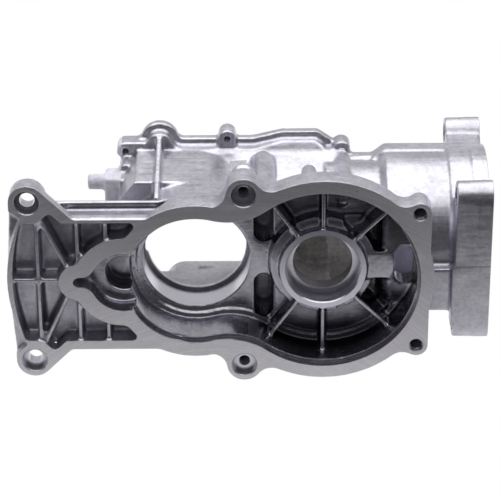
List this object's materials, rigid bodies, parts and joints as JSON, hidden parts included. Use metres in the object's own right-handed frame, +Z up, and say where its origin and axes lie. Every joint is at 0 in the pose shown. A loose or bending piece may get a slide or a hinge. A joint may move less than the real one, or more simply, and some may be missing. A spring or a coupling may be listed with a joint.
{
  "type": "gearbox housing",
  "caption": "Die-cast housing of an electric hammer's gearbox, with an open gear chamber, a flanged cylinder barrel and a ribbed end plate.",
  "frame": {"origin": "centre of the mouth of the crank bearing seat, on the face of its boss", "axes": "-Y out of the front gasket face along the crank bearing's axis, +X along the barrel towards the nose flange, +Z upwards"},
  "size_m": [0.208, 0.0938, 0.0968],
  "materials": {
    "housing": "die cast, with machined seats and faces"
  },
  "bodies": {
    "root": {"housing": "housing"}
  },
  "joints": []
}
